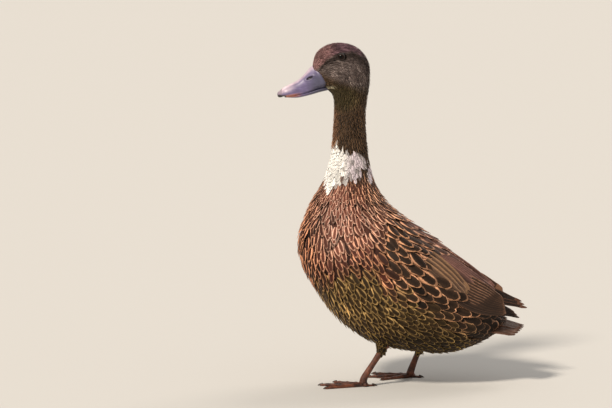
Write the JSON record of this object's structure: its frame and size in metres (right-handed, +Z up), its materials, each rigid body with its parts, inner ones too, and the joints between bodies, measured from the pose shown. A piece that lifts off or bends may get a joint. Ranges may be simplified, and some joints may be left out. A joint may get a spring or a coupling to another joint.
{
  "type": "standing duck model",
  "caption": "Life-size still model of a dark brown domestic duck hen with a white bib, standing alert with the neck stretched up.",
  "frame": {"origin": "on the floor under the middle of the bounding box", "axes": "+Z up, the bill points along -Y and the duck's left side is +X"},
  "size_m": [0.1446, 0.3084, 0.4277],
  "materials": {
    "plumage": "matt overlapping feathers, dark brown with rufous edges and a white bib",
    "wing_plumage": "silky dark brown feathers with paler edges",
    "tail_plumage": "silky mauve-brown feathers",
    "horn": "satin horn, slate lavender with a dark nail",
    "eye": "wet gloss, dark brown iris and black pupil",
    "leg_skin": "scaly satin skin, dusky orange-brown"
  },
  "bodies": {
    "root": {"head": "plumage", "neck": "plumage", "trunk": "plumage", "thigh_left": "plumage", "thigh_right": "plumage", "wing_left": "wing_plumage", "wing_right": "wing_plumage", "tail": "tail_plumage", "bill_upper": "horn", "bill_lower": "horn", "eye_left": "eye", "eye_right": "eye", "shank_left": "leg_skin", "shank_right": "leg_skin", "foot_left": "leg_skin", "foot_right": "leg_skin"}
  },
  "joints": []
}
